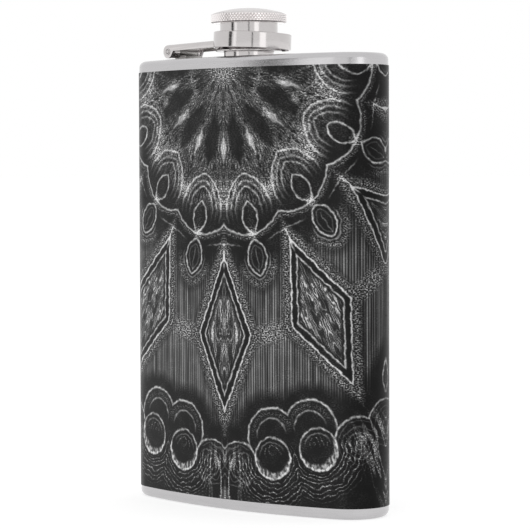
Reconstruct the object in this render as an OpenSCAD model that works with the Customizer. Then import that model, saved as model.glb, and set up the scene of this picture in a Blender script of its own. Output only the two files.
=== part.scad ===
// Hip flask with a captive screw cap on a swing arm.
// Origin: on the base plane, in the middle of the body's width and depth.
// +Z is up, -Y is the convex front, -X is the hinge's side.

/* [Body] */
// Width of the body
body_w = 95; // [85:1:110]
// Thickness of the body, front face to rear face
body_t = 23; // [21:0.5:28]
// Height of the body without the neck
body_h = 138.4; // [110:0.2:160]
// Radius of the convex front face
front_r = 145.4; // [110:0.2:220]
// Radius of the rounded edges along the top and base
edge_r = 2; // [1.2:0.1:2.5]
// Sheet thickness of the body tube
shell_wall = 0.6; // [0.5:0.1:0.8]
// Sheet thickness of the top and base pressings
plate_wall = 0.8; // [0.6:0.1:1]
// Height of each end pressing
pressing_h = 5; // [4.5:0.1:6]

/* [Wrap] */
// Thickness of the vinyl wrap
wrap_t = 0.2; // [0.1:0.05:0.3]
// Bare metal left below the wrap
wrap_low = 3.4; // [3:0.2:4.4]
// Bare metal left above the wrap
wrap_high = 3.6; // [3:0.2:4.4]
// Gap between the wrap's two ends at the rear
wrap_seam = 0.5; // [0.2:0.1:1]

/* [Neck] */
// Radius of the pouring bore
bore_r = 6; // [5:0.1:6.5]
// Radius of the neck at its foot and at the thread crest
neck_r = 7.65; // [7.5:0.05:7.7]
// Height of the neck above the body
neck_h = 10.3; // [9.9:0.1:10.4]
// Rise of the thread in one turn
thread_pitch = 1.5; // [1.4:0.05:1.6]

/* [Cap] */
// Radius of the knurled head
head_r = 11.6; // [11.2:0.1:12]
// Height of the knurled band
band_h = 2.9; // [2.5:0.1:3.5]
// Rise of the dome above the band
dome_h = 1.8; // [1.2:0.1:2.5]
// Radius of the cap's sleeve
sleeve_r = 8.85; // [8.75:0.05:8.95]
// Radius of the flared lower end of the sleeve
flare_r = 10.2; // [10:0.1:10.3]

/* [Swing arm] */
// Distance from the neck's axis to the hinge pin
arm_len = 31.6; // [31:0.1:33]
// Width of the arm over its flanges
arm_w = 12.8; // [12.4:0.1:13.4]
// Sheet thickness of the arm
arm_sheet = 0.8; // [0.7:0.1:0.9]
// How far the arm rises towards the collar, in degrees
arm_rise = 1; // [0:0.5:3]
// Outer radius of the collar
collar_r = 11.95; // [11.9:0.05:12.1]
// How far the loose collar sits off the cap's axis
collar_shift = 1.05; // [0:0.05:1.05]
// How far the loose collar tips down on the side it is shifted to, in degrees
collar_tip = 2.6; // [0:0.2:2.6]
// Direction of that shift, from the arm's length towards the rear, in degrees
collar_lean = 48; // [0:1:90]
// Radius of the hinge pin
pin_r = 0.9; // [0.8:0.05:0.95]

/* [Hidden] */
$fn = 96;

steel = "lightsteelblue";
polished = "silver";
vinyl = "dimgray";
seal = "black";
cut = 1;               // overshoot of a cutting solid past the face it opens
fit = 0.02;            // gap between pieces that are brazed, pressed or stuck together

// Plan of the body: two concentric arcs joined by round ends
plan_fn = 240;
end_r = body_t / 2;
mid_r = front_r - end_r;
end_x = body_w / 2 - end_r;
arc_a = asin(end_x / mid_r);
sag = mid_r * (1 - cos(arc_a));
arc_y = mid_r - sag / 2;
neck_y = arc_y - mid_r;
lap_a = 1;             // angle by which the arc runs past x = 0 before it is cut there

// Neck, from its flange under the top plate to the mouth
neck_tube_r = 7.2;
neck_foot_h = 2.6;
neck_flange_r = 9.5;
neck_flange_t = 1;
lip_chamfer = 0.35;
mouth_z = body_h + neck_h;
plate_z = body_h - plate_wall;

// Screw thread: a ridge on the neck and one in the sleeve, half a pitch apart
ridge_root_w = 0.9;
ridge_crest_w = 0.3;
ridge_bite = 0.1;      // how far a ridge's root is sunk into its wall
ridge_turns = 2;
ridge_steps = 24;      // steps in one turn
ridge_lead = 4;        // steps over which each end of a ridge fades out
neck_ridge_z = body_h + 3.65;
sleeve_ridge_z = neck_ridge_z + thread_pitch / 2;
sleeve_bore_r = 7.9;
sleeve_crest_r = 7.38;

// Cap, closed on the neck
flare_z = body_h + 1.7;
socket_h = 2.1;
gasket_t = 2;
head_edge = 0.15;

// Hinge, in the arm's frame: origin on the neck's axis, -X towards the hinge
arm_yaw = asin(arm_len / (2 * mid_r));
hinge_z = body_h + 2.8;
eye_r = 2.1;
spacer_r = 2;
barrel_r = 1.9;
barrel_len = 7.4;
front_spacer_t = 2.6;
rear_spacer_t = 1.1;
side_play = 0.025;     // gap at each side face of the spacers
channel_w = arm_w - 2 * arm_sheet;
barrel_mid = 2 * side_play + front_spacer_t + (barrel_len - channel_w) / 2;
pin_run = 0.06;        // running clearance of the pin in the barrel
pin_end_r = 1.05;
pin_end_t = 0.15;
foot_w = 7;
foot_back = 0.7;
foot_front = 4.4;
foot_h = 1.6;

// Arm: a channel with its flanges down, brazed to a cup-shaped collar
arm_top_z = hinge_z + eye_r;
arm_low_z = hinge_z + 0.1;
arm_bend_r = 0.6;
web_start = 2.6;       // where the web begins, measured from the pin
gusset_slope = 55;     // slope of the edge that joins each eye to its flange, in degrees
collar_z = body_h + 2.4;
collar_h = 4.9;
collar_bore_r = 11.4;
collar_lip_r = 10.15;
collar_lip_t = 0.9;
collar_edge = 0.25;

// Points of a quarter of a circle about (x, z), anticlockwise from angle start
function quarter(x, z, r, start, steps = 6) =
    [for (i = [0:steps]) [x + r * cos(start + 90 * i / steps), z + r * sin(start + 90 * i / steps)]];

// Cross-section of a plate standing on its rim, with its upper edges rounded
module rounded_block(half_w, low, top, r) {
    polygon(concat(
        [[-half_w, low], [half_w, low]],
        quarter(half_w - r, top - r, r, 0),
        quarter(r - half_w, top - r, r, 90)
    ));
}

// Two upright strips, one for each face of the body
module wall_profile(inner, outer, low, high) {
    for (side = [0, 1])
        mirror([side, 0])
            translate([inner, low])
                square([outer - inner, high - low]);
}

// Keeps the half of a profile on the positive side
module outer_half() {
    intersection() {
        children();
        translate([0, -body_h])
            square([body_w, 3 * body_h]);
    }
}

// Right half of the sweep round the body's plan, cut off square at x = 0
module right_half() {
    intersection() {
        translate([0, arc_y, 0])
            rotate([0, 0, arc_a - 90]) {
                mirror([0, 1, 0])
                    rotate_extrude(angle = arc_a + lap_a, $fn = plan_fn)
                        translate([mid_r, 0])
                            children();
                translate([mid_r, 0, 0])
                    rotate_extrude(angle = 180, $fn = plan_fn / 2)
                        outer_half() children();
            }
        translate([0, -body_w, -body_h])
            cube([body_w, 2 * body_w, 3 * body_h]);
    }
}

// Sweeps a profile, symmetric about its middle, round the body's plan
module along_plan() {
    right_half() children();
    mirror([1, 0, 0])
        right_half() children();
}

module body_shell() {
    color(steel)
        along_plan()
            wall_profile(end_r - shell_wall, end_r, pressing_h, body_h - pressing_h);
}

// Plate with rounded edges and a short skirt, its top at the height given
module pressing(top) {
    along_plan()
        difference() {
            rounded_block(end_r, top - pressing_h, top, edge_r);
            rounded_block(end_r - plate_wall, top - pressing_h - cut, top - plate_wall,
                          edge_r - plate_wall);
        }
}

module top_pressing() {
    color(steel)
        difference() {
            pressing(body_h);
            translate([0, neck_y, plate_z - cut])
                cylinder(h = plate_wall + 2 * cut, r = neck_r + fit);
        }
}

module base_pressing() {
    color(steel)
        mirror([0, 0, 1])
            pressing(0);
}

module vinyl_wrap() {
    color(vinyl)
        difference() {
            along_plan()
                wall_profile(end_r + fit, end_r + fit + wrap_t, wrap_low, body_h - wrap_high);
            translate([-wrap_seam / 2, 0, 0])
                cube([wrap_seam, body_t, body_h]);
        }
}

// Helical ridge of a right-hand thread, rising from start_z at angle 0
module ridge(root_r, crest_r, start_z) {
    count = ridge_turns * ridge_steps;
    side = sign(crest_r - root_r);
    root = ridge_root_w / 2;
    crest = ridge_crest_w / 2;
    section = [[0, -root], [1, -crest], [1, crest], [0, root]];
    points = [
        for (i = [0:count])
            let (turn = 360 * i / ridge_steps)
            let (full = min(1, 0.1 + i / ridge_lead, 0.1 + (count - i) / ridge_lead))
            let (z = start_z + thread_pitch * turn / 360)
            for (p = section)
                let (r = root_r + p[0] * full * (crest_r - root_r))
                [r * cos(turn), r * sin(turn), z + side * p[1]]
    ];
    walls = [
        for (i = [0:count - 1])
            for (j = [0:3])
                let (here = 4 * i, next = 4 * i + 4, k = (j + 1) % 4)
                for (face = [[here + j, here + k, next + k], [here + j, next + k, next + j]])
                    face
    ];
    ends = [[3, 2, 1, 0], [for (j = [0:3]) 4 * count + j]];
    polyhedron(points = points, faces = concat(walls, ends));
}

module neck() {
    low_z = plate_z - neck_flange_t;
    color(polished)
        translate([0, neck_y, 0]) {
            rotate_extrude()
                polygon([
                    [bore_r, low_z], [neck_flange_r, low_z],
                    [neck_flange_r, plate_z - fit], [neck_r, plate_z - fit],
                    [neck_r, body_h + neck_foot_h], [neck_tube_r, body_h + neck_foot_h],
                    [neck_tube_r, mouth_z - lip_chamfer], [neck_tube_r - lip_chamfer, mouth_z],
                    [bore_r, mouth_z]
                ]);
            ridge(neck_tube_r - ridge_bite, neck_r, neck_ridge_z);
        }
}

// Puts children in the arm's frame
module on_arm() {
    translate([0, neck_y, 0])
        rotate([0, 0, -arm_yaw])
            children();
}

// Puts children on the hinge axis, with the arm running along +X
module at_hinge() {
    on_arm()
        translate([-arm_len, 0, hinge_z])
            children();
}

// Round bar along the hinge axis, centred the given distance towards the rear
module hinge_bar(r, length, offset = 0) {
    translate([0, offset, 0])
        rotate([90, 0, 0])
            cylinder(h = length, r = r, center = true);
}

module hinge_bracket() {
    drop = hinge_z - body_h;
    color(steel)
        at_hinge()
            difference() {
                union() {
                    hinge_bar(barrel_r, barrel_len, barrel_mid);
                    translate([-foot_back, barrel_mid - foot_w / 2, -drop])
                        cube([2 * foot_back, foot_w, drop]);
                    translate([-foot_back, barrel_mid - foot_w / 2, -drop])
                        cube([foot_back + foot_front, foot_w, foot_h]);
                }
                hinge_bar(pin_r + pin_run, arm_w);
            }
}

module hinge_pin() {
    color(polished)
        at_hinge() {
            hinge_bar(pin_r, arm_w + 2 * pin_end_t);
            for (side = [-1, 1])
                hinge_bar(pin_end_r, pin_end_t, side * (arm_w + pin_end_t) / 2);
        }
}

// Spacer ring between the barrel and one eye; side is -1 at the front, 1 at the rear
module spacer(side, thickness) {
    middle = (channel_w - thickness) / 2 - side_play;
    color(polished)
        at_hinge()
            difference() {
                hinge_bar(spacer_r, thickness, side * middle);
                hinge_bar(pin_r + pin_run, arm_w);
            }
}

module front_spacer() {
    spacer(-1, front_spacer_t);
}

module rear_spacer() {
    spacer(1, rear_spacer_t);
}

// Side view of the arm, from the hinge axis along +X
module arm_side() {
    low = arm_low_z - hinge_z;
    top = arm_top_z - hinge_z;
    touch = [eye_r * sin(gusset_slope), -eye_r * cos(gusset_slope)];
    circle(r = eye_r);
    translate([0, low])
        square([arm_len, top - low]);
    polygon([[0, 0], touch, [touch[0] + (low - touch[1]) / tan(gusset_slope), low], [eye_r, eye_r / 2]]);
}

// Puts children in the collar's own tipped frame, at the middle of its height
module at_collar() {
    on_arm()
        rotate([0, 0, collar_lean])
            translate([collar_shift, 0, collar_z + collar_h / 2])
                rotate([0, collar_tip, 0])
                    children();
}

module swing_arm() {
    top = arm_top_z - hinge_z;
    color(polished)
        difference() {
            at_hinge()
                rotate([0, -arm_rise, 0])
                    difference() {
                        intersection() {
                            translate([-eye_r - cut, 0, 0])
                                rotate([90, 0, 90])
                                    linear_extrude(height = arm_len + eye_r + cut)
                                        rounded_block(arm_w / 2, -eye_r - cut, top, arm_bend_r);
                            rotate([90, 0, 0])
                                linear_extrude(height = arm_w + 2 * cut, center = true)
                                    arm_side();
                        }
                        translate([-arm_len, -channel_w / 2, -2 * eye_r])
                            cube([arm_len + web_start, channel_w, 4 * eye_r]);
                        translate([-arm_len, -channel_w / 2, -2 * eye_r])
                            cube([3 * arm_len, channel_w, 2 * eye_r + top - arm_sheet]);
                        hinge_bar(pin_r + fit, arm_w + 2 * cut);
                    }
            at_collar()
                cylinder(h = 4 * collar_h, r = collar_r + fit, center = true);
        }
}

module arm_collar() {
    top = collar_h / 2;
    color(polished)
        at_collar()
            rotate_extrude()
                polygon([
                    [collar_bore_r, -top], [collar_r - collar_edge, -top],
                    [collar_r, collar_edge - top], [collar_r, top - collar_edge],
                    [collar_r - collar_edge, top], [collar_lip_r, top],
                    [collar_lip_r, top - collar_lip_t], [collar_bore_r, top - collar_lip_t]
                ]);
}

// Points of a shallow dome of radius r and rise h standing at height z, from its rim to its crown
function dome(r, h, z, steps = 12) =
    let (ball_r = (r * r + h * h) / (2 * h))
    let (span = asin(r / ball_r))
    [for (i = [0:steps])
        let (a = span * (1 - i / steps))
        [ball_r * sin(a), z + h - ball_r * (1 - cos(a))]];

module cap_head() {
    rim_z = mouth_z + band_h;
    color(polished)
        translate([0, neck_y, 0])
            difference() {
                rotate_extrude()
                    polygon(concat(
                        [[0, mouth_z], [head_r - head_edge, mouth_z], [head_r, mouth_z + head_edge],
                         [head_r, rim_z - head_edge]],
                        dome(head_r - head_edge, dome_h, rim_z)
                    ));
                translate([0, 0, mouth_z - cut])
                    cylinder(h = socket_h + cut, r = sleeve_r + fit);
            }
}

module cap_sleeve() {
    top_z = mouth_z + socket_h - fit;
    color(polished)
        translate([0, neck_y, 0]) {
            rotate_extrude()
                polygon([
                    [sleeve_bore_r, flare_z], [flare_r, flare_z],
                    [sleeve_r, flare_z + flare_r - sleeve_r], [sleeve_r, top_z],
                    [sleeve_bore_r, top_z]
                ]);
            ridge(sleeve_bore_r + ridge_bite, sleeve_crest_r, sleeve_ridge_z);
        }
}

module cap_gasket() {
    color(seal)
        translate([0, neck_y, mouth_z + fit])
            cylinder(h = gasket_t, r = sleeve_bore_r - fit);
}

body_shell();
top_pressing();
base_pressing();
vinyl_wrap();
neck();
hinge_bracket();
hinge_pin();
front_spacer();
rear_spacer();
swing_arm();
arm_collar();
cap_head();
cap_sleeve();
cap_gasket();
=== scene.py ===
import math

import bmesh
import bpy
from mathutils import Matrix, Quaternion, Vector


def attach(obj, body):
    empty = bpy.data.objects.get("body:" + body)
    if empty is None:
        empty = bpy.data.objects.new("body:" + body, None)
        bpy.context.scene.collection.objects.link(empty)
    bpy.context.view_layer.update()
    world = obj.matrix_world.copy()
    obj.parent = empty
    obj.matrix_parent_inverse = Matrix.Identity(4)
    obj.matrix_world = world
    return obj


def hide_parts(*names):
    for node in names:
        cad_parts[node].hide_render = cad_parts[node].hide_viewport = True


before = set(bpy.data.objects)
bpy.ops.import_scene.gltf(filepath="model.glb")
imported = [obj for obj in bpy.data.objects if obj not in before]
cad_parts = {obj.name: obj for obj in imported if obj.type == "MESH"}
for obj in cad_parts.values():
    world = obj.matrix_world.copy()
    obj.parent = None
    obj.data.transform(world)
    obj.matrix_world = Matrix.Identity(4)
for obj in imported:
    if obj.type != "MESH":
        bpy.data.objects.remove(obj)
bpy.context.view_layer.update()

MM = 0.001

# ---------------------------------------------------------------- sizes, in millimetres
BODY_W = 95.0
END_R = 11.5
MID_R = 133.9
BODY_H = 138.4
EDGE_R = 2.0
PLATE = 0.8
PRESSING_H = 5.0
FIT = 0.02
WRAP_T = 0.18
WRAP_LOW = 3.4
WRAP_HIGH = 3.6
WRAP_SEAM = 0.12

ARC_A = math.asin((BODY_W / 2 - END_R) / MID_R)
ARC_Y = MID_R * (1 + math.cos(ARC_A)) / 2
NECK_Y = ARC_Y - MID_R

BORE_R = 6.0
NECK_FOOT_R = 7.65
NECK_TUBE_R = 7.2
NECK_FOOT_H = 2.6
NECK_FLANGE_R = 9.5
MOUTH_Z = BODY_H + 10.3
THREAD_Z = BODY_H + 3.65
PITCH = 1.5

HEAD_R = 11.6
HEAD_BAND = 2.9
HEAD_DOME = 1.8
HEAD_EDGE = 0.3
KNURLS = 72
KNURL_DEPTH = 0.4
KNURL_RISE = 1.15
KNURL_STEEPNESS = 2.2
SLEEVE_R = 8.85
SLEEVE_BORE_R = 7.9
CAP_THREAD_R = 7.38
FLARE_R = 10.2
FLARE_Z = BODY_H + 1.7
SOCKET_H = 2.1
GASKET_T = 2.0

ARM_LEN = 31.6
ARM_YAW = math.asin(ARM_LEN / (2 * MID_R))
HINGE_Z = BODY_H + 2.8
ARM_W = 12.8
PIN_R = 0.9
PIN_END_R = 1.05
PIN_END_T = 0.15
PIN_DIMPLE_R = 0.62
COLLAR_R = 11.95
COLLAR_BORE_R = 11.4
COLLAR_LIP_R = 10.15
COLLAR_LIP_T = 0.9
COLLAR_Z = BODY_H + 2.4
COLLAR_H = 4.9
COLLAR_SHIFT = 1.05
COLLAR_TIP = math.radians(2.6)
COLLAR_LEAN = math.radians(48)


# ---------------------------------------------------------------- node arithmetic
class Field:
    """A number that varies over a surface: a node's output, whose arithmetic adds Math nodes."""

    def __init__(self, tree, socket):
        self.tree = tree
        self.socket = socket

    def apply(self, operation, *values, clamp=False):
        node = self.tree.nodes.new("ShaderNodeMath")
        node.operation = operation
        node.use_clamp = clamp
        for socket, value in zip(node.inputs, values):
            plug(self.tree, socket, value)
        return Field(self.tree, node.outputs[0])

    def __add__(self, other):
        return self.apply("ADD", self, other)

    def __sub__(self, other):
        return self.apply("SUBTRACT", self, other)

    def __rsub__(self, other):
        return self.apply("SUBTRACT", other, self)

    def __mul__(self, other):
        return self.apply("MULTIPLY", self, other)

    def __pow__(self, other):
        return self.apply("POWER", self, other)

    __radd__ = __add__
    __rmul__ = __mul__

    def size(self):
        return self.apply("ABSOLUTE", self)

    def least(self, other):
        return self.apply("MINIMUM", self, other)

    def most(self, other):
        return self.apply("MAXIMUM", self, other)

    def between(self, low, high):
        """0 below low, 1 above high and straight in between; low may be the larger of the two."""
        return self.apply("MULTIPLY_ADD", self, 1 / (high - low), low / (low - high), clamp=True)

    def line(self, at, width):
        """Bright line where the value equals at, fading out over a width on each side."""
        return (self - at).size().between(width, 0)


def plug(tree, socket, value):
    """Links a field, or sets a plain number, on an input socket."""
    if isinstance(value, Field):
        tree.links.new(value.socket, socket)
    else:
        socket.default_value = value


def distance(x, y):
    """Length of a step of x one way and y across it, as a field."""
    return (x * x + y * y) ** 0.5


def noise(tree, x, y, z=0.0, detail=2.0, channel=None):
    """Noise with features about one unit long; channel 0 or 1 picks one of two unrelated fields."""
    place = tree.nodes.new("ShaderNodeCombineXYZ")
    for socket, value in zip(place.inputs, (x, y, z)):
        plug(tree, socket, value)
    node = tree.nodes.new("ShaderNodeTexNoise")
    node.inputs["Scale"].default_value = 1.0
    node.inputs["Detail"].default_value = detail
    tree.links.new(place.outputs[0], node.inputs["Vector"])
    if channel is None:
        return Field(tree, node.outputs["Fac"])
    split = tree.nodes.new("ShaderNodeSeparateColor")
    tree.links.new(node.outputs["Color"], split.inputs[0])
    return Field(tree, split.outputs[channel])


def grey(tree, value, tint=(1.0, 1.0, 1.0)):
    """Colour from a field of linear brightness, with a fixed tint."""
    node = tree.nodes.new("ShaderNodeCombineColor")
    for socket, part in zip(node.inputs, tint):
        plug(tree, socket, value * part)
    return node.outputs[0]


def bump(tree, shader, height, depth):
    """Bump from a field of height 0 to 1, with its full depth in millimetres."""
    node = tree.nodes.new("ShaderNodeBump")
    node.inputs["Distance"].default_value = depth * MM
    plug(tree, node.inputs["Height"], height)
    tree.links.new(node.outputs["Normal"], shader.inputs["Normal"])


def material(name):
    """A new node material with its node tree and its shader."""
    mat = bpy.data.materials.new(name)
    mat.use_nodes = True
    return mat, mat.node_tree, mat.node_tree.nodes["Principled BSDF"]


def place_fields(tree):
    """The object's own x, y and z in millimetres."""
    where = tree.nodes.new("ShaderNodeTexCoord")
    split = tree.nodes.new("ShaderNodeSeparateXYZ")
    tree.links.new(where.outputs["Object"], split.inputs[0])
    return [Field(tree, socket) * (1 / MM) for socket in split.outputs]


# ---------------------------------------------------------------- steel and rubber
def brushed_steel():
    """Satin sheet brushed along the body's width, with short stray scratches and a handled bloom."""
    mat, tree, shader = material("brushed_steel_body")
    x, y, z = place_fields(tree)
    way = tree.nodes.new("ShaderNodeNewGeometry")
    split = tree.nodes.new("ShaderNodeSeparateXYZ")
    tree.links.new(way.outputs["Normal"], split.inputs[0])
    flat = Field(tree, split.outputs[2]).size().between(0.6, 0.8)
    on_side = noise(tree, x * 0.1, y * 0.1, z * 9, 3)
    on_top = noise(tree, x * 0.1, y * 9, z * 0.1, 3)
    brush = on_side + flat * (on_top - on_side)
    bloom = noise(tree, x * 0.08, y * 0.1, z * 0.2, 3)
    stray = noise(tree, x * 0.5 + z * 3, y * 0.6, z * 0.7 - x * 0.05, 1).line(0.5, 0.012)
    tone = 0.45 + brush * 0.1 + bloom * 0.06 - stray * 0.03
    tree.links.new(grey(tree, tone, (1.0, 0.985, 1.0)), shader.inputs["Base Color"])
    shader.inputs["Metallic"].default_value = 1
    plug(tree, shader.inputs["Roughness"], 0.14 + brush * 0.1 + bloom * 0.06)
    bump(tree, shader, brush + stray * 0.3, 0.006)
    return mat


def polished_steel(name, lines, level=0.5, tint=(1.0, 0.96, 0.955), shade=None, dull=0.06):
    """Bright steel with fine working marks, nicks and handled places.

    lines and shade are functions of x, y and z: the marks' direction, and any places of painted shade,
    which are painted darker and made rougher.
    """
    mat, tree, shader = material(name)
    x, y, z = place_fields(tree)
    marks = noise(tree, *lines(x, y, z), 3)
    cloud = noise(tree, x * 0.25, y * 0.25, z * 0.25, 2)
    nick = noise(tree, x * 2.2, y * 2.2, z * 2.2, 2).between(0.68, 0.8)
    tone = level + marks * 0.08 + cloud * 0.04 - nick * 0.06
    rough = dull + marks * 0.07 + cloud * 0.06 + nick * 0.1
    if shade:
        # Painted shade: the places that shade gives are painted darker and made rougher
        dark = shade(x, y, z)
        tone = tone * (1 - dark * 0.6)
        rough = rough + dark * 0.3
    tree.links.new(grey(tree, tone, tint), shader.inputs["Base Color"])
    shader.inputs["Metallic"].default_value = 1
    plug(tree, shader.inputs["Roughness"], rough)
    bump(tree, shader, marks - nick * 0.4, 0.0015)
    return mat


def turned(x, y, z):
    """Rings about the neck's axis, as a lathe leaves them."""
    return distance(x, y - NECK_Y) * 7, z * 7, 0.0


def drawn(x, y, z):
    """Lines along the arm, as a polishing belt leaves them."""
    c, s = math.cos(ARM_YAW), math.sin(ARM_YAW)
    return (x * c - y * s) * 0.15, (x * s + y * c) * 7, z * 7


def in_knurl(x, y, z):
    """Painted shade on the knurled head: the knurl's grooves are painted darker, and the dome above the
    band is painted darker; both are also made rougher.
    """
    depth = distance(x, y - NECK_Y).between(HEAD_R - 0.05, HEAD_R - KNURL_DEPTH)
    dome = z.between(MOUTH_Z + HEAD_BAND - 0.2, MOUTH_Z + HEAD_BAND)
    # Painted shade in the grooves of the band, and on the dome above it
    groove_shade = depth * (1 - dome) * z.between(MOUTH_Z, MOUTH_Z + 0.2)
    return groove_shade * 0.35 + dome * 0.5


def in_dimple(x, y, z):
    """Painted shade in the ring groove round the hinge axis on the face of the pin's head."""
    c, s = math.cos(ARM_YAW), math.sin(ARM_YAW)
    from_axis = distance(x * c - (y - NECK_Y) * s + ARM_LEN, z - HINGE_Z)
    # Painted shade along the ring groove, also made rougher
    return from_axis.line(PIN_DIMPLE_R, 0.22)


def seal_rubber():
    """Dark moulded seal with a fine matt grain and a little dust."""
    mat, tree, shader = material("seal_rubber")
    x, y, z = place_fields(tree)
    grain = noise(tree, x * 5, y * 5, z * 5, 3)
    dust = noise(tree, x * 0.6, y * 0.6, z * 0.6, 3)
    tone = 0.02 + grain * 0.015 + dust * 0.02
    tree.links.new(grey(tree, tone, (1.0, 0.98, 0.96)), shader.inputs["Base Color"])
    plug(tree, shader.inputs["Roughness"], 0.45 + grain * 0.2 + dust * 0.15)
    bump(tree, shader, grain, 0.03)
    return mat


# ---------------------------------------------------------------- the printed ornament
FOLD = 2 * math.pi / 14     # angle of one repeat of the ornament about its middle

# Distances of the ornament's parts from its middle, in millimetres
GAP_AT = 22.5
SPINDLE_AT = 24.5
RIM_AT = 38.0
SPARK_AT = 40.5
ARCH_AT = 44.5
SEED_AT = 46.4
KNOT_AT = 51.2
BRIDGE_AT = 53.4
DROP_AT = 58.8
LOZENGE_AT = 81.0
TIE_AT = 82.0
CLOUD_AT = 112.4
COIL_AT = 116.8
INNER_AT = 117.2
DISC_AT = 118.8
SHOULDER_AT = 121.0

RIB_PITCH = 0.88
# The print's darkest tone and its range, as a screen shows them, and the power to linear light
BLACK = 0.105
SILVER = 0.74
SCREEN_POWER = 2.2


class Print:
    """Shared fields of the ornament, in millimetres: a fan about the middle of the wrap's top edge."""

    def __init__(self, tree):
        self.tree = tree
        uv = tree.nodes.new("ShaderNodeUVMap")
        uv.uv_map = "print"
        split = tree.nodes.new("ShaderNodeSeparateXYZ")
        tree.links.new(uv.outputs[0], split.inputs[0])
        across, down = [Field(tree, socket) for socket in split.outputs[:2]]
        self.across = across
        sway = [noise(tree, across * 0.45, down * 0.45, 0.0, 5, channel) - 0.5 for channel in (0, 1)]
        p = across + sway[0] * 1.5
        q = down + sway[1] * 1.5
        self.r = distance(p, q)
        self.angle = p.apply("ARCTAN2", p, q)
        self.fleck = noise(tree, across * 1.7, down * 2.6, 0.0, 2).between(0.42, 0.66)
        self.cloud = noise(tree, across * 0.22, down * 0.22, 7.0, 1)
        self.breaks = noise(tree, across * 0.7, down * 0.7, 3.0, 3).between(0.3, 0.6)
        turn = self.angle.apply("PINGPONG", self.angle, FOLD / 2)
        self.stem = self.along(turn)
        self.petal = self.along(FOLD / 2 - turn)

    def along(self, turn):
        """Distance along and beside a ray of the fan, from the angle to that ray."""
        return self.r * turn.apply("COSINE", turn), self.r * turn.apply("SINE", turn)

    def disc(self, ray, centre, side, radius):
        """Signed distance to a circle centred beside a ray."""
        a, b = ray
        return distance(a - centre, b - side) - radius

    def leaf(self, ray, centre, half_length, half_width):
        """Signed distance to a pointed oval along a ray."""
        big = (half_length ** 2 + half_width ** 2) / (2 * half_width)
        return self.disc(ray, centre, half_width - big, big)

    def hairs(self, fine, slow, seed, width=0.07):
        """Hair lines running out from the middle."""
        return noise(self.tree, self.angle * fine, self.r * slow, seed, 2).line(0.5, width)

    def contours(self, field, pitch, share=0.4):
        """Lines that follow a field at a pitch, wandering a little like the grain of wood."""
        bent = field * (1 / pitch) + self.cloud * 2.5
        return bent.apply("PINGPONG", bent, 0.5).between(0.5 - share / 2, 0.5)


def feathers(print_):
    """Radial hairs in the middle of the fan, with a bright spindle on each stem ray."""
    a, b = print_.stem
    r = print_.r
    hairs = print_.hairs(22.0, 0.14, 1.0, 0.06).most(print_.hairs(40.0, 0.35, 6.0, 0.09) * 0.75)
    lit = 0.3 + noise(print_.tree, print_.angle * 5.0, r * 0.16, 8.0, 2).between(0.4, 0.62) * 0.7
    dark = 0.12 + print_.leaf(print_.petal, GAP_AT, 7.5, 2.3).between(-0.3, 1.2) * 0.88
    spindle = (a - SPINDLE_AT).size() * 0.24 + b - 1.3
    core = spindle.between(0.3, -0.7) * (0.55 + print_.hairs(90.0, 0.25, 9.0, 0.15) * 0.45)
    wings = print_.contours(spindle, 1.05) * spindle.between(5.5, 1.5) * spindle.between(0.2, 0.7) * 0.6
    spark = distance(a - SPARK_AT, b).between(3.4, 0.4)
    fringe = r.between(7.0, 3.0)
    glow = (hairs * lit + wings * print_.breaks) * dark * r.between(46, 39)
    return glow * (0.5 + print_.fleck * 0.7) + core + (spark * 0.9 + fringe) * print_.fleck


def scallops(print_):
    """Ring of arched petals, each with a seed, closed by bright scallops."""
    a, b = print_.petal
    rim = print_.disc(print_.petal, RIM_AT, 0.0, 13.6)
    edge = rim.line(0.0, 0.55) * a.between(42.0, 45.0)
    rough = rim.line(1.1, 0.9) * a.between(42.0, 46.0) * print_.fleck
    arch = print_.leaf(print_.petal, ARCH_AT, 11.5, 8.6)
    nested = arch.line(0.0, 0.55) * 0.9 + arch.line(-1.9, 0.5) * 0.6 + arch.line(-3.6, 0.5) * 0.7
    crumbs = arch.line(-1.0, 2.0) * 0.25 + arch.line(1.4, 1.4) * 0.35
    seed = print_.leaf(print_.petal, SEED_AT, 4.9, 2.8)
    seeds = seed.line(0.0, 0.5) + seed.between(-0.8, -2.0) * print_.fleck * 0.12
    knot = distance(a - KNOT_AT, b).between(2.4, 0.8) * print_.fleck * 0.9
    breaks = 0.4 + print_.breaks * 0.6
    above = a.between(47.0, 41.5)
    arches = (nested * breaks + crumbs * print_.fleck) * above
    return arches + seeds * breaks + edge * (0.65 + print_.breaks * 0.35) + rough * 0.6 + knot


def drop_field(print_):
    """Signed distance to the pointed drop below each petal."""
    return print_.leaf(print_.petal, DROP_AT, 5.4, 3.5)


def pendants(print_):
    """Pointed drop below each petal and the thin bridges between them."""
    a, b = print_.petal
    drop = drop_field(print_)
    echo = drop.line(1.2, 0.4) * a.between(57.0, 60.0)
    outlines = drop.line(0.0, 0.5) + drop.line(-1.3, 0.35) * 0.3 + echo * 0.55
    vein = b.line(0.0, 0.35) * drop.between(-0.6, -1.2) * a.between(55.5, 57.0) * 0.4
    dust = drop.line(2.8, 1.8) * a.between(58.0, 62.0) * print_.fleck * 0.7
    sa, sb = print_.stem
    bridge = (print_.r - sb * 0.16).line(BRIDGE_AT, 0.4) * sb.between(8.0, 5.0) * 0.55
    stalk = sb.line(0.0, 0.4) * sa.between(53.2, 54.0) * sa.between(61.5, 60.0) * 0.8
    return (outlines + vein) * (0.5 + print_.breaks * 0.5) + dust + bridge * print_.breaks + stalk


def lozenge_field(print_):
    """Signed distance to the long lozenge on each stem ray."""
    a, b = print_.stem
    half_length, half_width = 23.5, 10.6
    scale = half_length * half_width / math.hypot(half_length, half_width)
    return (a - LOZENGE_AT).size() * (scale / half_length) + b * (scale / half_width) - scale


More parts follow.
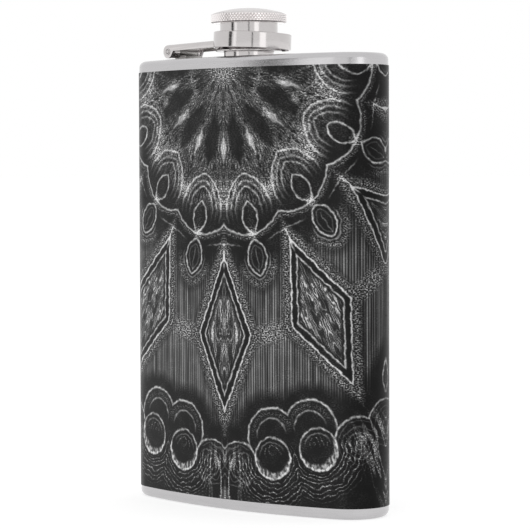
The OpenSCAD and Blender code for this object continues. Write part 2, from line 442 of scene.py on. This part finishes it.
def lozenges(print_, loz):
    """Lozenges with twin outlines, a crumbled border and a streaked, wooden fill."""
    a, b = print_.stem
    outlines = loz.line(0.0, 0.45) * 0.9 + loz.line(-2.1, 0.45) * 0.75
    border = loz.line(1.6, 2.2) * print_.fleck * 0.65
    bend = noise(print_.tree, b * 0.45, a * 0.07, 2.0, 2)
    wood = print_.contours(b + bend * 6.0, 0.95, 0.5)
    glow = noise(print_.tree, b * 0.6, a * 0.12, 5.0, 2).between(0.36, 0.6)
    fill = loz.between(-2.6, -3.8) * (0.05 + glow * 0.14 + wood * (0.22 + glow * 0.6))
    return outlines * (0.5 + print_.breaks * 0.5) + border + fill * (0.7 + print_.fleck * 0.4)


def ribbing(print_, loz, clouds):
    """Upright ribs on the ground between the lozenges, shaded off round the pendants and clouds."""
    phase = print_.across * (1 / RIB_PITCH)
    rib = phase.apply("PINGPONG", phase, 0.5).between(0.12, 0.42)
    weight = noise(print_.tree, print_.across * 0.75, print_.r * 0.03, 4.0, 2).between(0.32, 0.64)
    drop = drop_field(print_)
    ground = loz.between(2.2, 4.4) * print_.r.between(55.0, 66.0) * print_.r.between(110.0, 101.0)
    ground = ground * clouds.between(2.6, 6.0) * drop.between(2.5, 6.5)
    tie = (print_.r - TIE_AT).size().between(4.0, 1.6)
    tone = 0.04 + weight * 0.1 + rib * (0.1 + weight * 0.38)
    return ground * (tone * (1 - tie * 0.85) + tie * print_.fleck * 0.85)


def cloud_field(print_):
    """Signed distance to the pair of round lobes beyond the lozenges."""
    return print_.disc(print_.petal, CLOUD_AT, 6.9, 8.8)


def lobes(print_, clouds):
    """Paired lobes with a ringed disc in each, and shoulders that meet on the stem rays."""
    a, b = print_.petal
    disc = print_.disc(print_.petal, DISC_AT, 8.2, 6.3)
    outside = disc.between(-0.2, 0.8)
    echo = clouds.line(-3.3, 0.5) * 0.7 + clouds.line(-1.7, 1.3) * print_.fleck * 0.4
    crown = (clouds.line(0.0, 0.55) + echo * a.between(112.5, 109.5)) * a.between(116.5, 112.0) * outside
    inner = print_.disc(print_.petal, INNER_AT, 7.6, 5.4)
    ray = noise(print_.tree, a * 0.35 + b * 1.4, b * 0.35 - a * 0.4, 6.0, 2).between(0.42, 0.58)
    crescent = inner.between(0.2, 1.0) * disc.between(0.5, -0.2) * (0.25 + ray * 0.75)
    ring = disc.line(0.0, 0.5) * 0.9 + disc.line(-1.5, 0.4) * a.between(118.0, 115.0) * 0.5 + crescent * 0.8
    coil = print_.contours(print_.disc(print_.petal, COIL_AT, 7.0, 4.4), 1.5) * disc.between(-2.0, -2.8)
    coil = coil * a.between(118.5, 116.0) * print_.fleck
    ripple = print_.contours(disc, 1.25) * disc.between(0.6, 1.4) * disc.between(10.5, 7.0)
    below = ripple * a.between(115.0, 119.0)
    sa, sb = print_.stem
    shoulder = print_.disc(print_.stem, SHOULDER_AT, 5.6, 7.6)
    shoulders = shoulder.line(0.0, 0.5) * sa.between(122.0, 118.0) * 0.9
    shoulders = (shoulders + print_.contours(shoulder, 1.6) * shoulder.between(-0.4, -1.2) * 0.35) * outside
    breaks = 0.35 + print_.breaks * 0.65
    return (crown + ring + coil + shoulders) * breaks + below * (0.35 + print_.fleck * 0.75) * print_.breaks


def flames(print_):
    """Licks of bright hair beyond the discs."""
    sa, sb = print_.stem
    licks = print_.hairs(40.0, 0.05, 11.0, 0.07) * sb.between(9.0, 4.0)
    return licks * sa.between(112.0, 120.0) * (0.3 + print_.fleck * 0.7)


def printed_vinyl():
    """Satin laminated film, printed in black and silver greys, with painted shade round the narrow sides.
    """
    mat, tree, shader = material("printed_vinyl")
    print_ = Print(tree)
    loz = lozenge_field(print_)
    clouds = cloud_field(print_)
    light = feathers(print_) * 0.76 + scallops(print_) * 0.9 + pendants(print_)
    light = light + lozenges(print_, loz) * 1.3
    light = light + ribbing(print_, loz, clouds) + lobes(print_, clouds) + flames(print_)
    light = light + print_.fleck * (0.03 + print_.cloud.between(0.4, 0.7) * 0.14)
    x, y, z = place_fields(tree)
    # Painted shade: the print is made darker round the narrow sides
    side = x.size().between(41.5, 46)
    tone = (BLACK - side * 0.07 + light.least(1.0) * (SILVER - side * 0.1)) ** SCREEN_POWER
    tree.links.new(grey(tree, tone), shader.inputs["Base Color"])
    peel = noise(tree, x * 0.9, y * 0.9, z * 0.9, 2)
    scuff = noise(tree, x * 0.12 + z * 0.9, y * 0.3, z * 0.14, 4).between(0.62, 0.8)
    plug(tree, shader.inputs["Roughness"], 0.3 + peel * 0.14 + scuff * 0.18)
    shader.inputs["Specular IOR Level"].default_value = 0.12
    bump(tree, shader, peel + light * 0.25, 0.012)
    return mat


STEEL = brushed_steel()
TURNED = polished_steel("polished_steel_turned", turned)
# Lighter copy of the polished steel: a painted highlight on the knurl's flats, with painted shade from
# in_knurl
KNURLED = polished_steel("polished_steel_knurled", turned, 0.84, shade=in_knurl)
DRAWN = polished_steel("polished_steel_drawn", drawn, 0.52)
PINNED = polished_steel("polished_steel_pin", drawn, 0.5, shade=in_dimple)
# Darker, rougher copy of the steel for the hinge barrel: its darker tone is painted shade, its higher
# roughness is real
DULL_AND_SHADED = polished_steel("polished_steel_barrel", drawn, 0.36, (1.0, 0.97, 0.94), dull=0.3)
RUBBER = seal_rubber()
VINYL = printed_vinyl()


# ---------------------------------------------------------------- mesh helpers
def new_object(name, bm, smooth_under=35.0):
    """Turns a bmesh in millimetres into an object in metres, sharp only at edges over the angle."""
    bmesh.ops.recalc_face_normals(bm, faces=bm.faces)
    bmesh.ops.scale(bm, vec=(MM, MM, MM), verts=bm.verts)
    mesh = bpy.data.meshes.new(name)
    bm.to_mesh(mesh)
    bm.free()
    mesh.shade_smooth()
    mesh.set_sharp_from_angle(angle=math.radians(smooth_under))
    obj = bpy.data.objects.new(name, mesh)
    bpy.context.scene.collection.objects.link(obj)
    return obj


def rounded(corners, steps=5):
    """Outline through (x, z, radius) corners, each corner replaced by an arc of its radius."""
    points = []
    count = len(corners)
    for i, (x, z, r) in enumerate(corners):
        here = Vector((x, z))
        if r <= 0:
            points.append(here)
            continue
        before = (Vector(corners[i - 1][:2]) - here).normalized()
        after = (Vector(corners[(i + 1) % count][:2]) - here).normalized()
        half = before.angle(after) / 2
        reach = r / math.tan(half)
        centre = here + (before + after).normalized() * (r / math.sin(half))
        start = here + before * reach - centre
        turn = start.angle_signed(here + after * reach - centre)
        for k in range(steps + 1):
            spin = Matrix.Rotation(-turn * k / steps, 2)
            points.append(centre + spin @ start)
    return points


def skin(bm, rings, closed_ring=True, closed_profile=True):
    """Quads between neighbouring rings of vertices."""
    count = len(rings)
    for i in range(count if closed_ring else count - 1):
        a, b = rings[i], rings[(i + 1) % count]
        size = len(a)
        for j in range(size if closed_profile else size - 1):
            k = (j + 1) % size
            bm.faces.new((a[j], b[j], b[k], a[k]))


def lathe(bm, outline, segments=160, place=Matrix.Identity(4)):
    """Turns a closed (r, z) outline about the Z axis of the given place."""
    rings = []
    for i in range(segments):
        t = 2 * math.pi * i / segments
        rings.append([
            bm.verts.new(place @ Vector((p[0] * math.cos(t), p[0] * math.sin(t), p[1]))) for p in outline
        ])
    skin(bm, rings)


def plan_stations(arc_steps=96, end_steps=40):
    """Points of the mid-line with their outward normals, round the plan from the rear seam line."""
    stations = []

    def arc(low, high, outward):
        for i in range(arc_steps):
            t = low + (high - low) * i / arc_steps
            n = Vector((math.sin(t), -math.cos(t)))
            stations.append((Vector((0, ARC_Y)) + n * MID_R, n * outward))

    def end(side):
        for i in range(end_steps):
            first = ARC_A - math.pi / 2 if side > 0 else math.pi / 2 - ARC_A
            t = first + math.pi * i / end_steps
            centre = Vector((side * MID_R * math.sin(ARC_A), ARC_Y - MID_R * math.cos(ARC_A)))
            stations.append((centre, Vector((math.cos(t), math.sin(t)))))

    arc(0, -ARC_A, -1)
    end(-1)
    arc(-ARC_A, ARC_A, 1)
    end(1)
    arc(ARC_A, 0, -1)
    return stations


STATIONS = plan_stations()


def plan_ring(bm, offset, z):
    """Loop of vertices round the plan, at an offset from the mid-line."""
    return [bm.verts.new((*(base + normal * offset), z)) for base, normal in STATIONS]


# ---------------------------------------------------------------- the body
HOLE_STEPS = 96


def pressing(hole_r):
    """Plate with a rounded edge and skirt, at the height of the top; a hole_r of 0 leaves it whole."""
    bm = bmesh.new()
    low = BODY_H - PRESSING_H
    under = BODY_H - PLATE
    flat = END_R - 3 * EDGE_R / 2
    inner = END_R - PLATE
    outline = rounded([(END_R, low, 0), (END_R, BODY_H, EDGE_R), (flat, BODY_H, 0)], 12)
    inside = rounded([(flat, under, 0), (inner, under, EDGE_R - PLATE), (inner, low, 0)], 6)
    rings = [plan_ring(bm, d, z) for d, z in outline + inside]
    for a, b in zip(rings, rings[1:] + rings[:1]):
        if a is rings[len(outline) - 1]:
            continue
        for j in range(len(a)):
            k = (j + 1) % len(a)
            bm.faces.new((a[j], a[k], b[k], b[j]))
    holes = []
    for ring in (rings[len(outline) - 1], rings[len(outline)]):
        edges = [bm.edges.get((ring[j], ring[(j + 1) % len(ring)])) for j in range(len(ring))]
        if hole_r:
            z = ring[0].co.z
            hole = [bm.verts.new((hole_r * math.cos(t), NECK_Y + hole_r * math.sin(t), z))
                    for t in (2 * math.pi * i / HOLE_STEPS for i in range(HOLE_STEPS))]
            edges += [bm.edges.new((hole[j], hole[(j + 1) % HOLE_STEPS])) for j in range(HOLE_STEPS)]
            holes.append(hole)
        bmesh.ops.triangle_fill(bm, use_beauty=True, edges=edges)
    if holes:
        top, bottom = holes
        for j in range(HOLE_STEPS):
            k = (j + 1) % HOLE_STEPS
            bm.faces.new((top[j], top[k], bottom[k], bottom[j]))
    return bm


def make_top():
    """Top plate, pierced for the neck."""
    obj = new_object("top_plate", pressing(NECK_FOOT_R + FIT))
    finished(obj, "flask", "brushed_steel", STEEL, "top_pressing")


def make_base():
    """Base plate: the top plate's form turned over, without a hole."""
    bm = pressing(0)
    bmesh.ops.scale(bm, vec=(1, 1, -1), verts=bm.verts)
    bmesh.ops.translate(bm, vec=(0, 0, BODY_H), verts=bm.verts)
    obj = new_object("base_plate", bm)
    finished(obj, "flask", "brushed_steel", STEEL, "base_pressing")


def finished(obj, body, slot, mat, *nodes):
    """Gives a piece its material and puts it on its body in place of its CAD nodes; the slot argument is
    not used.
    """
    obj.data.materials.clear()
    obj.data.materials.append(mat)
    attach(obj, body)
    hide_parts(*nodes)


# ---------------------------------------------------------------- the wrap
def make_wrap():
    """Thin film round the body, open along a narrow line at the rear.

    Its print UV is in millimetres: U from the nearer face's middle line, V down from the film's top.
    """
    bm = bmesh.new()
    uv = bm.loops.layers.uv.new("print")
    low, top = WRAP_LOW, BODY_H - WRAP_HIGH
    inner, outer = END_R + FIT, END_R + FIT + WRAP_T
    rows = 24
    outline = [(outer, low + (top - low) * i / rows) for i in range(rows + 1)]
    outline += [(inner, low + (top - low) * i / rows) for i in range(rows, -1, -1)]
    stations = list(STATIONS) + [STATIONS[0]]
    travel = [0.0]
    for (b0, n0), (b1, n1) in zip(stations, stations[1:]):
        travel.append(travel[-1] + ((b1 + n1 * outer) - (b0 + n0 * outer)).length)
    around = travel[-1]
    rings = []
    across = {}
    for (base, normal), s in zip(stations, travel):
        shift = Vector((0, 0))
        if s == 0:
            shift = Vector((-WRAP_SEAM / 2, 0))
        if s == around:
            shift = Vector((WRAP_SEAM / 2, 0))
        ring = [bm.verts.new((*(base + normal * d + shift), z)) for d, z in outline]
        rings.append(ring)
        for vert in ring:
            across[vert] = print_across(s - around / 2, around)
    skin(bm, rings, closed_ring=False)
    for ring in (rings[0], list(reversed(rings[-1]))):
        bm.faces.new(ring)
    for face in bm.faces:
        for loop in face.loops:
            loop[uv].uv = (across[loop.vert], top - loop.vert.co.z)
    obj = new_object("wrap_film", bm)
    finished(obj, "flask", "printed_vinyl", VINYL, "vinyl_wrap")


def print_across(s, around):
    """Distance from the print's middle line at a distance s round the body from the front's middle."""
    side = END_R * math.pi / 2 + (MID_R + END_R) * ARC_A
    rear = around / 2 - side
    s = abs(s)
    return s if s <= side else side * (around / 2 - s) / rear


# ---------------------------------------------------------------- neck, cap and collar
AT_NECK = Matrix.Translation((0, NECK_Y, 0))
ON_ARM = AT_NECK @ Matrix.Rotation(-ARM_YAW, 4, "Z")
AT_COLLAR = (ON_ARM @ Matrix.Rotation(COLLAR_LEAN, 4, "Z")
             @ Matrix.Translation((COLLAR_SHIFT, 0, COLLAR_Z + COLLAR_H / 2))
             @ Matrix.Rotation(COLLAR_TIP, 4, "Y"))


def thread(bm, root_r, crest_r, start_z, turns=2, steps=96, place=AT_NECK):
    """Helical ridge that fades out at both ends."""
    side = 1 if crest_r > root_r else -1
    # Section of the ridge: how far out, 0 to 1, and how far up in millimetres
    shape = [(0, -0.45), (0.75, -0.22), (1, -0.12), (1, 0.12), (0.75, 0.22), (0, 0.45)]
    rings = []
    count = turns * steps
    for i in range(count + 1):
        t = 2 * math.pi * i / steps
        full = min(1, 0.1 + 6 * i / steps, 0.1 + 6 * (count - i) / steps)
        ring = []
        for out, up in shape:
            r = root_r + out * full * (crest_r - root_r)
            z = start_z + PITCH * i / steps + side * up
            ring.append(bm.verts.new(place @ Vector((r * math.cos(t), r * math.sin(t), z))))
        rings.append(ring)
    skin(bm, rings, closed_ring=False)
    bm.faces.new(rings[0])
    bm.faces.new(list(reversed(rings[-1])))


def make_neck():
    """Spout with its flange under the top plate, a plain foot and a threaded tube."""
    bm = bmesh.new()
    low = BODY_H - PLATE - 1
    outline = rounded([
        (BORE_R, low, 0.1), (NECK_FLANGE_R, low, 0.2), (NECK_FLANGE_R, BODY_H - PLATE, 0.1),
        (NECK_FOOT_R, BODY_H - PLATE, 0), (NECK_FOOT_R, BODY_H + NECK_FOOT_H, 0.15),
        (NECK_TUBE_R, BODY_H + NECK_FOOT_H, 0.1), (NECK_TUBE_R, MOUTH_Z, 0.35), (BORE_R, MOUTH_Z, 0.3),
    ])
    lathe(bm, outline, place=AT_NECK)
    thread(bm, NECK_TUBE_R - 0.1, NECK_FOOT_R, THREAD_Z)
    obj = new_object("neck_spout", bm)
    finished(obj, "flask", "polished_steel", TURNED, "neck")


def make_gasket():
    """Seal disc that fills the top of the cap's sleeve."""
    bm = bmesh.new()
    r = SLEEVE_BORE_R - FIT
    low = MOUTH_Z + FIT
    outline = rounded([(0.01, low + 0.15, 0), (4.5, low + 0.15, 0.1), (5.2, low, 0.2), (r, low, 0.2),
                       (r, low + GASKET_T, 0.2), (0.01, low + GASKET_T, 0)])
    lathe(bm, outline, 96, AT_NECK)
    obj = new_object("seal_disc", bm)
    finished(obj, "cap_seal", "seal_rubber", RUBBER, "cap_gasket")


def make_sleeve():
    """Cap's tube, threaded inside and flared at its lower end."""
    bm = bmesh.new()
    top = MOUTH_Z + SOCKET_H - FIT
    outline = rounded([
        (SLEEVE_BORE_R, FLARE_Z, 0.15), (FLARE_R, FLARE_Z, 0.15), (FLARE_R, FLARE_Z + 0.35, 0.12),
        (SLEEVE_R, FLARE_Z + FLARE_R - SLEEVE_R + 0.2, 0.5), (SLEEVE_R, top, 0), (SLEEVE_BORE_R, top, 0),
    ])
    lathe(bm, outline, place=AT_NECK)
    thread(bm, SLEEVE_BORE_R + 0.1, CAP_THREAD_R, THREAD_Z + PITCH / 2)
    obj = new_object("cap_tube", bm)
    finished(obj, "cap", "polished_steel", TURNED, "cap_sleeve")


def make_collar():
    """Leaning ring at the arm's end, with a lip that keeps the cap from leaving."""
    bm = bmesh.new()
    half = COLLAR_H / 2
    outline = rounded([
        (COLLAR_BORE_R, -half, 0.12), (COLLAR_R, -half, 0.2), (COLLAR_R, half, 0.3),
        (COLLAR_LIP_R, half, 0.25), (COLLAR_LIP_R, half - COLLAR_LIP_T, 0.15),
        (COLLAR_BORE_R, half - COLLAR_LIP_T, 0.2),
    ])
    lathe(bm, outline, 200, AT_COLLAR)
    obj = new_object("captive_collar", bm)
    finished(obj, "arm", "polished_steel", TURNED, "arm_collar")


def knurl(t, z):
    """Height of the diamond knurl, 0 in a groove and 1 on a flat-topped diamond."""
    def ramp(x):
        return 1 - abs(2 * (x % 1.0) - 1)
    a = t * KNURLS / (2 * math.pi)
    b = z / KNURL_RISE
    return min(1, KNURL_STEEPNESS * min(ramp(a + b), ramp(a - b)))


def make_head():
    """Knurled band with a domed top and a socket for the sleeve."""
    bm = bmesh.new()
    segments = KNURLS * 10
    rows = 24
    dome_rows = 16
    rim = HEAD_R - HEAD_EDGE
    socket_r = SLEEVE_R + FIT
    ball_r = (rim * rim + HEAD_DOME ** 2) / (2 * HEAD_DOME)
    span = math.asin(rim / ball_r)
    rings = []

    def ring(r_of, z):
        rings.append([
            bm.verts.new(AT_NECK @ Vector((r_of(t) * math.cos(t), r_of(t) * math.sin(t), z)))
            for t in (2 * math.pi * i / segments for i in range(segments))
        ])

    ring(lambda t: socket_r, MOUTH_Z + SOCKET_H)
    ring(lambda t: socket_r, MOUTH_Z + 0.1)
    ring(lambda t: socket_r + 0.1, MOUTH_Z)
    ring(lambda t: rim - KNURL_DEPTH - 0.1, MOUTH_Z)
    ring(lambda t: rim - KNURL_DEPTH, MOUTH_Z + 0.05)
    for i in range(rows + 1):
        z = HEAD_EDGE + (HEAD_BAND - 2 * HEAD_EDGE) * i / rows
        ring(lambda t, z=z: HEAD_R - KNURL_DEPTH * (1 - knurl(t, z)), MOUTH_Z + z)
    ring(lambda t: rim - KNURL_DEPTH / 2, MOUTH_Z + HEAD_BAND - 0.05)
    crown = MOUTH_Z + HEAD_BAND + HEAD_DOME - ball_r
    for i in range(1, dome_rows):
        a = span * (1 - i / dome_rows) * (rim - KNURL_DEPTH / 2 - 0.1) / rim
        ring(lambda t, a=a: ball_r * math.sin(a), crown + ball_r * math.cos(a))
    skin(bm, rings, closed_ring=False)
    bm.faces.new(rings[0])
    bm.faces.new(list(reversed(rings[-1])))
    obj = new_object("cap_knob", bm, 40)
    finished(obj, "cap", "polished_steel", KNURLED, "cap_head")


# ---------------------------------------------------------------- arm and hinge
AT_HINGE = ON_ARM @ Matrix.Translation((-ARM_LEN, 0, HINGE_Z)) @ Matrix.Rotation(math.pi / 2, 4, "X")


def make_pin():
    """Hinge pin with a low head at each end, each head with a dimpled ring."""
    bm = bmesh.new()
    face = ARM_W / 2 + PIN_END_T
    neck = ARM_W / 2
    groove = 0.12
    head = [
        (0.01, face, 0), (PIN_DIMPLE_R - groove, face, 0.04), (PIN_DIMPLE_R, face - groove, 0.04),
        (PIN_DIMPLE_R + groove, face, 0.04), (PIN_END_R, face, 0.08), (PIN_END_R, neck, 0),
        (PIN_R, neck, 0),
    ]
    foot = [(r, -z, turn) for r, z, turn in reversed(head)]
    lathe(bm, rounded(head + foot), 64, AT_HINGE)
    obj = new_object("pivot_pin", bm)
    finished(obj, "arm", "polished_steel", PINNED, "hinge_pin")


def refined(name, node, body, edge=0.15, metal=DRAWN):
    """Copy of a CAD node with its sharp edges eased."""
    bm = bmesh.new()
    bm.from_mesh(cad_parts[node].data)
    bmesh.ops.scale(bm, vec=(1 / MM, 1 / MM, 1 / MM), verts=bm.verts)
    bmesh.ops.remove_doubles(bm, verts=bm.verts, dist=0.002)
    bmesh.ops.dissolve_limit(bm, angle_limit=math.radians(1), verts=bm.verts, edges=bm.edges)
    sharp = [e for e in bm.edges if len(e.link_faces) == 2 and e.calc_face_angle() > math.radians(35)]
    bmesh.ops.bevel(
        bm, geom=sharp, offset=edge, segments=3, profile=0.5, affect="EDGES", clamp_overlap=True)
    obj = new_object(name, bm)
    finished(obj, body, "polished_steel", metal, node)


make_top()
make_base()
make_wrap()
make_neck()
make_gasket()
make_sleeve()
make_collar()
make_head()
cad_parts["body_shell"].material_slots[0].material = STEEL
refined("arm_channel", "swing_arm", "arm")
refined("pivot_barrel", "hinge_bracket", "flask", 0.15, DULL_AND_SHADED)
make_pin()
refined("pivot_spacer_front", "front_spacer", "arm", 0.1)
refined("pivot_spacer_rear", "rear_spacer", "arm", 0.1)

# ---------------------------------------------------------------- studio
# The camera's place in metres, the way it looks, its turn about that line, and its lens in millimetres
CAMERA_AT = (0.4809, -0.5366, 0.1023)
AIM = Vector((-0.6642, 0.7475, -0.0386))
ROLL = math.radians(-0.19)
LENS = 158.6

# How far off the cards stand, how tall they are, and the height of their middles, in millimetres
CARD_AWAY = 900
CARD_H = 900
CARD_Z = 100


def card(name, bearing, width, brightness=0.0):
    """Upright card facing the flask; its bearing is in degrees to the right of the camera's own."""
    towards = -AIM
    t = math.atan2(towards.y, towards.x) + math.radians(bearing)
    out = Vector((math.cos(t), math.sin(t), 0))
    bm = bmesh.new()
    bmesh.ops.create_grid(bm, x_segments=1, y_segments=1, size=0.5)
    bmesh.ops.scale(bm, vec=(width, CARD_H, 1), verts=bm.verts)
    obj = new_object(name, bm)
    obj.rotation_euler = (math.pi / 2, 0, t - math.pi / 2)
    obj.location = (out * CARD_AWAY + Vector((0, 0, CARD_Z))) * MM
    mat, tree, shader = material(name)
    shader.inputs["Base Color"].default_value = (0.02, 0.02, 0.02, 1)
    shader.inputs["Emission Color"].default_value = (1, 1, 1, 1)
    shader.inputs["Emission Strength"].default_value = brightness
    obj.data.materials.append(mat)
    obj.visible_camera = False
    obj.visible_shadow = False
    obj.visible_diffuse = False


def studio():
    """White surroundings, a pale floor that runs out of sight, and cards that show only in reflections."""
    bpy.context.scene.view_settings.view_transform = "Standard"
    world = bpy.data.worlds.new("studio")
    bpy.context.scene.world = world
    world.use_nodes = True
    world.node_tree.nodes["Background"].inputs["Color"].default_value = (1, 1, 1, 1)
    world.node_tree.nodes["Background"].inputs["Strength"].default_value = 1.0
    bm = bmesh.new()
    bmesh.ops.create_grid(bm, x_segments=1, y_segments=1, size=60000)
    floor = new_object("floor", bm)
    mat, tree, shader = material("floor")
    shader.inputs["Base Color"].default_value = (0.5, 0.5, 0.5, 1)
    shader.inputs["Roughness"].default_value = 0.9
    shader.inputs["Specular IOR Level"].default_value = 0.0
    shader.inputs["Emission Color"].default_value = (1, 1, 1, 1)
    shader.inputs["Emission Strength"].default_value = 0.62
    floor.data.materials.append(mat)
    card("flag_left", -68, 165)
    card("flag_middle", 0, 50)
    card("softbox_right", 31, 290, 1.6)
    card("softbox_left", -53, 150, 1.4)


def camera():
    """Long lens, level but for a slight pitch and roll."""
    data = bpy.data.cameras.new("camera")
    data.sensor_width = 36
    data.lens = LENS
    cam = bpy.data.objects.new("camera", data)
    bpy.context.scene.collection.objects.link(cam)
    cam.location = CAMERA_AT
    cam.rotation_mode = "QUATERNION"
    cam.rotation_quaternion = AIM.to_track_quat("-Z", "Y") @ Quaternion((0, 0, 1), ROLL)
    data.clip_start, data.clip_end = 0.01, 100
    bpy.context.scene.camera = cam


studio()
camera()
